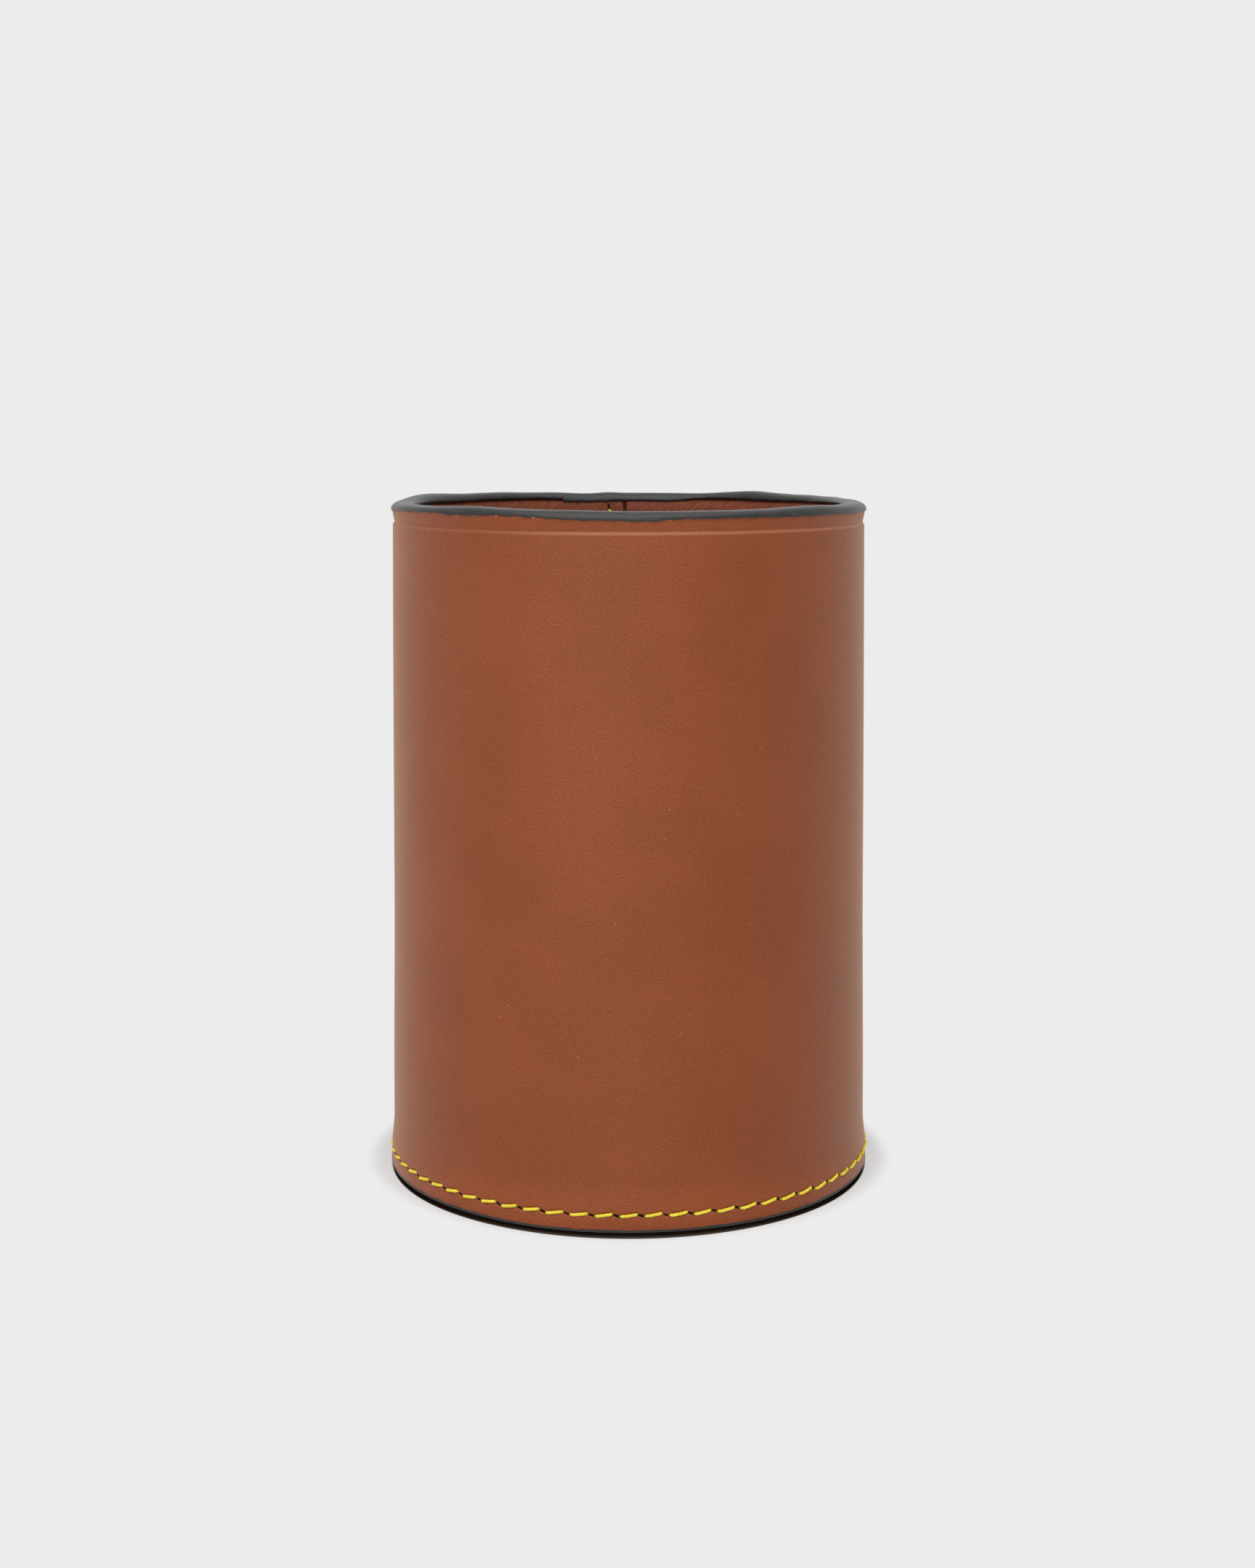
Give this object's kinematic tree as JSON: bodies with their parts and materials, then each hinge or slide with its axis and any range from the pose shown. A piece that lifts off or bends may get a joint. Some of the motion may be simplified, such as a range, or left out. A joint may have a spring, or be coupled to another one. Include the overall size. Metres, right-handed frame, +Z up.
{
  "type": "pen holder",
  "caption": "Upright round cup in lined leather for holding pens on a desk, with a painted rim and slanted stitching round its foot.",
  "frame": {"origin": "centre of the flat ring that the cup rests on, at table level", "axes": "+Z up the cup's axis and out of its mouth, -Y to the front as pictured, the sewn seam at the back on +Y"},
  "size_m": [0.0834, 0.0834, 0.1143],
  "materials": {
    "tan_leather": "smooth full-grain leather, satin, tan",
    "lining_leather": "napped flesh side, matt, red-brown",
    "base_leather": "smooth full-grain leather, satin, tan",
    "edge_paint": "satin edge paint, charcoal",
    "yellow_thread": "waxed twisted thread, yellow"
  },
  "bodies": {
    "root": {"outer_wall": "tan_leather", "lining_wall": "lining_leather", "rim_edge_coat": "edge_paint", "bottom_edge_coat": "edge_paint", "formed_base": "base_leather", "floor_lining": "lining_leather", "base_thread": "yellow_thread", "seam_thread": "yellow_thread"}
  },
  "joints": []
}
